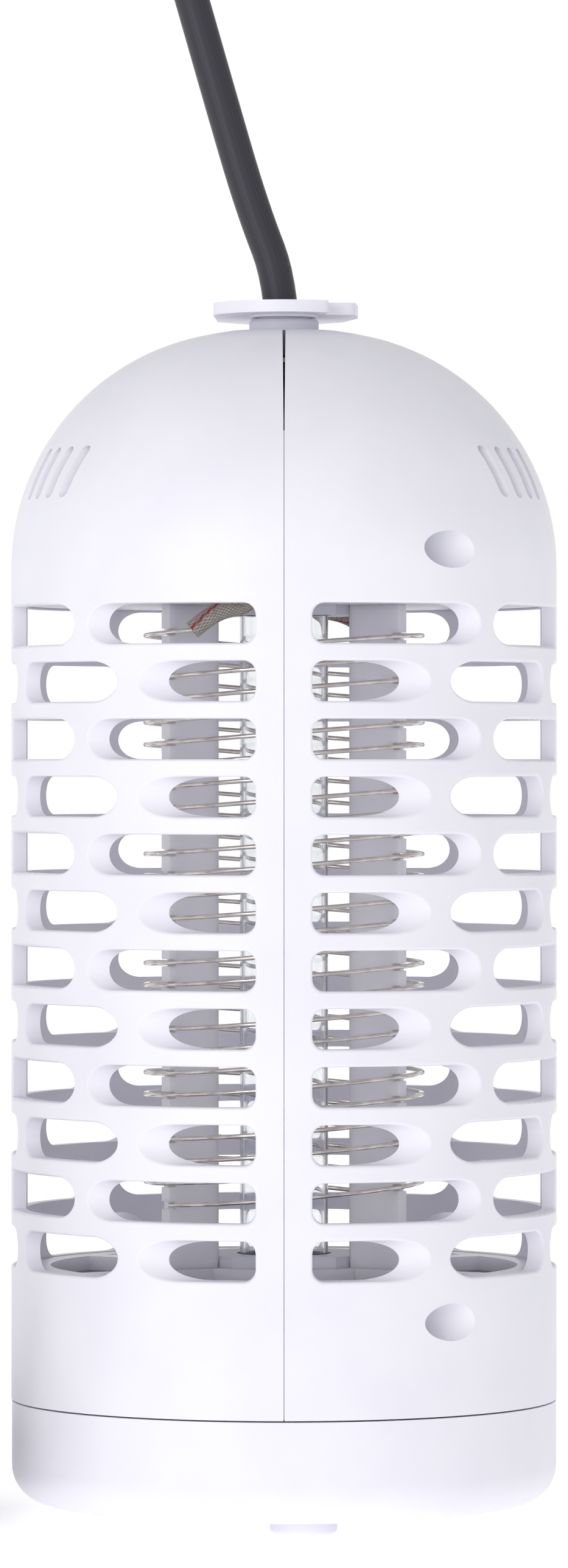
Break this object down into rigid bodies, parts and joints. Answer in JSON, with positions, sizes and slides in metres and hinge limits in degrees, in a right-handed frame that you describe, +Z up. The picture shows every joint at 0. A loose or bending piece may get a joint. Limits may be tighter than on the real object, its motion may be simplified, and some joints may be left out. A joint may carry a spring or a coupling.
{
  "type": "electric bug zapper",
  "caption": "Round electric insect killer: slotted dome-topped housing around a lit tube and high-voltage wires, with a pull-off tray and a swivelling hanging plate.",
  "frame": {"origin": "under the middle of the housing, level with the bottom of the feet", "axes": "+Z up along the tube, -Y to the front, +X to the right, where the shells' screws go in"},
  "size_m": [0.2489, 0.0985, 0.3128],
  "materials": {
    "shell": "satin moulded lavender-white ABS",
    "neck": "satin grey-white nylon",
    "carrier": "satin grey-white moulded plastic",
    "holder": "satin light grey moulded plastic",
    "tube_glass": "clear ultraviolet quartz glass",
    "cap_aluminium": "drawn bright",
    "pin_brass": "turned",
    "grid_steel": "bright drawn wire",
    "screw_steel": "zinc plated",
    "sleeve": "woven glass fibre with a red tracer",
    "board": "phenolic laminate",
    "capacitor": "dipped red-brown",
    "choke": "varnished",
    "component_black": "moulded black",
    "resistor": "lacquered tan",
    "lead": "satin black sheath",
    "plug": "satin moulded black",
    "plug_pin": "nickel plated"
  },
  "bodies": {
    "housing": {"left_shell": "shell", "right_shell": "shell", "shell_screws": "screw_steel", "lower_lamp_holder": "holder", "upper_lamp_holder": "holder", "uv_tube": "tube_glass", "tube_end_caps": "cap_aluminium", "tube_pins": "pin_brass", "upper_carrier": "carrier", "lower_carrier": "carrier", "grid_wire_live": "grid_steel", "grid_wire_return": "grid_steel", "comb_post_front_left": "carrier", "comb_post_rear_right": "carrier", "comb_post_front_right": "carrier", "comb_post_rear_left": "carrier", "wire_sleeve_left": "sleeve", "wire_sleeve_right": "sleeve", "neck_bush": "neck", "circuit_board": "board", "board_standoffs": "carrier", "board_screws": "screw_steel", "film_capacitors": "capacitor", "lamp_choke": "choke", "diodes": "component_black", "resistors": "resistor", "lead_clamp": "carrier", "clamp_screws": "screw_steel", "lead_inner_end": "lead", "mains_lead": "lead", "mains_lead_tail": "lead", "lead_coil": "lead", "plug_body": "plug", "plug_pins": "plug_pin"},
    "tray": {"collection_tray": "shell"},
    "hanger": {"hanging_plate": "shell", "swivel_clip": "grid_steel"}
  },
  "joints": [
    {"name": "tray_pull", "type": "slide", "parent": "housing", "child": "tray", "axis": [0, 0, -1], "range_m": [0, 0.035]},
    {"name": "plate_swivel", "type": "hinge", "parent": "housing", "child": "hanger", "pos_m": [0, 0, 0.2104], "axis": [0, 0, 1], "continuous": true}
  ]
}
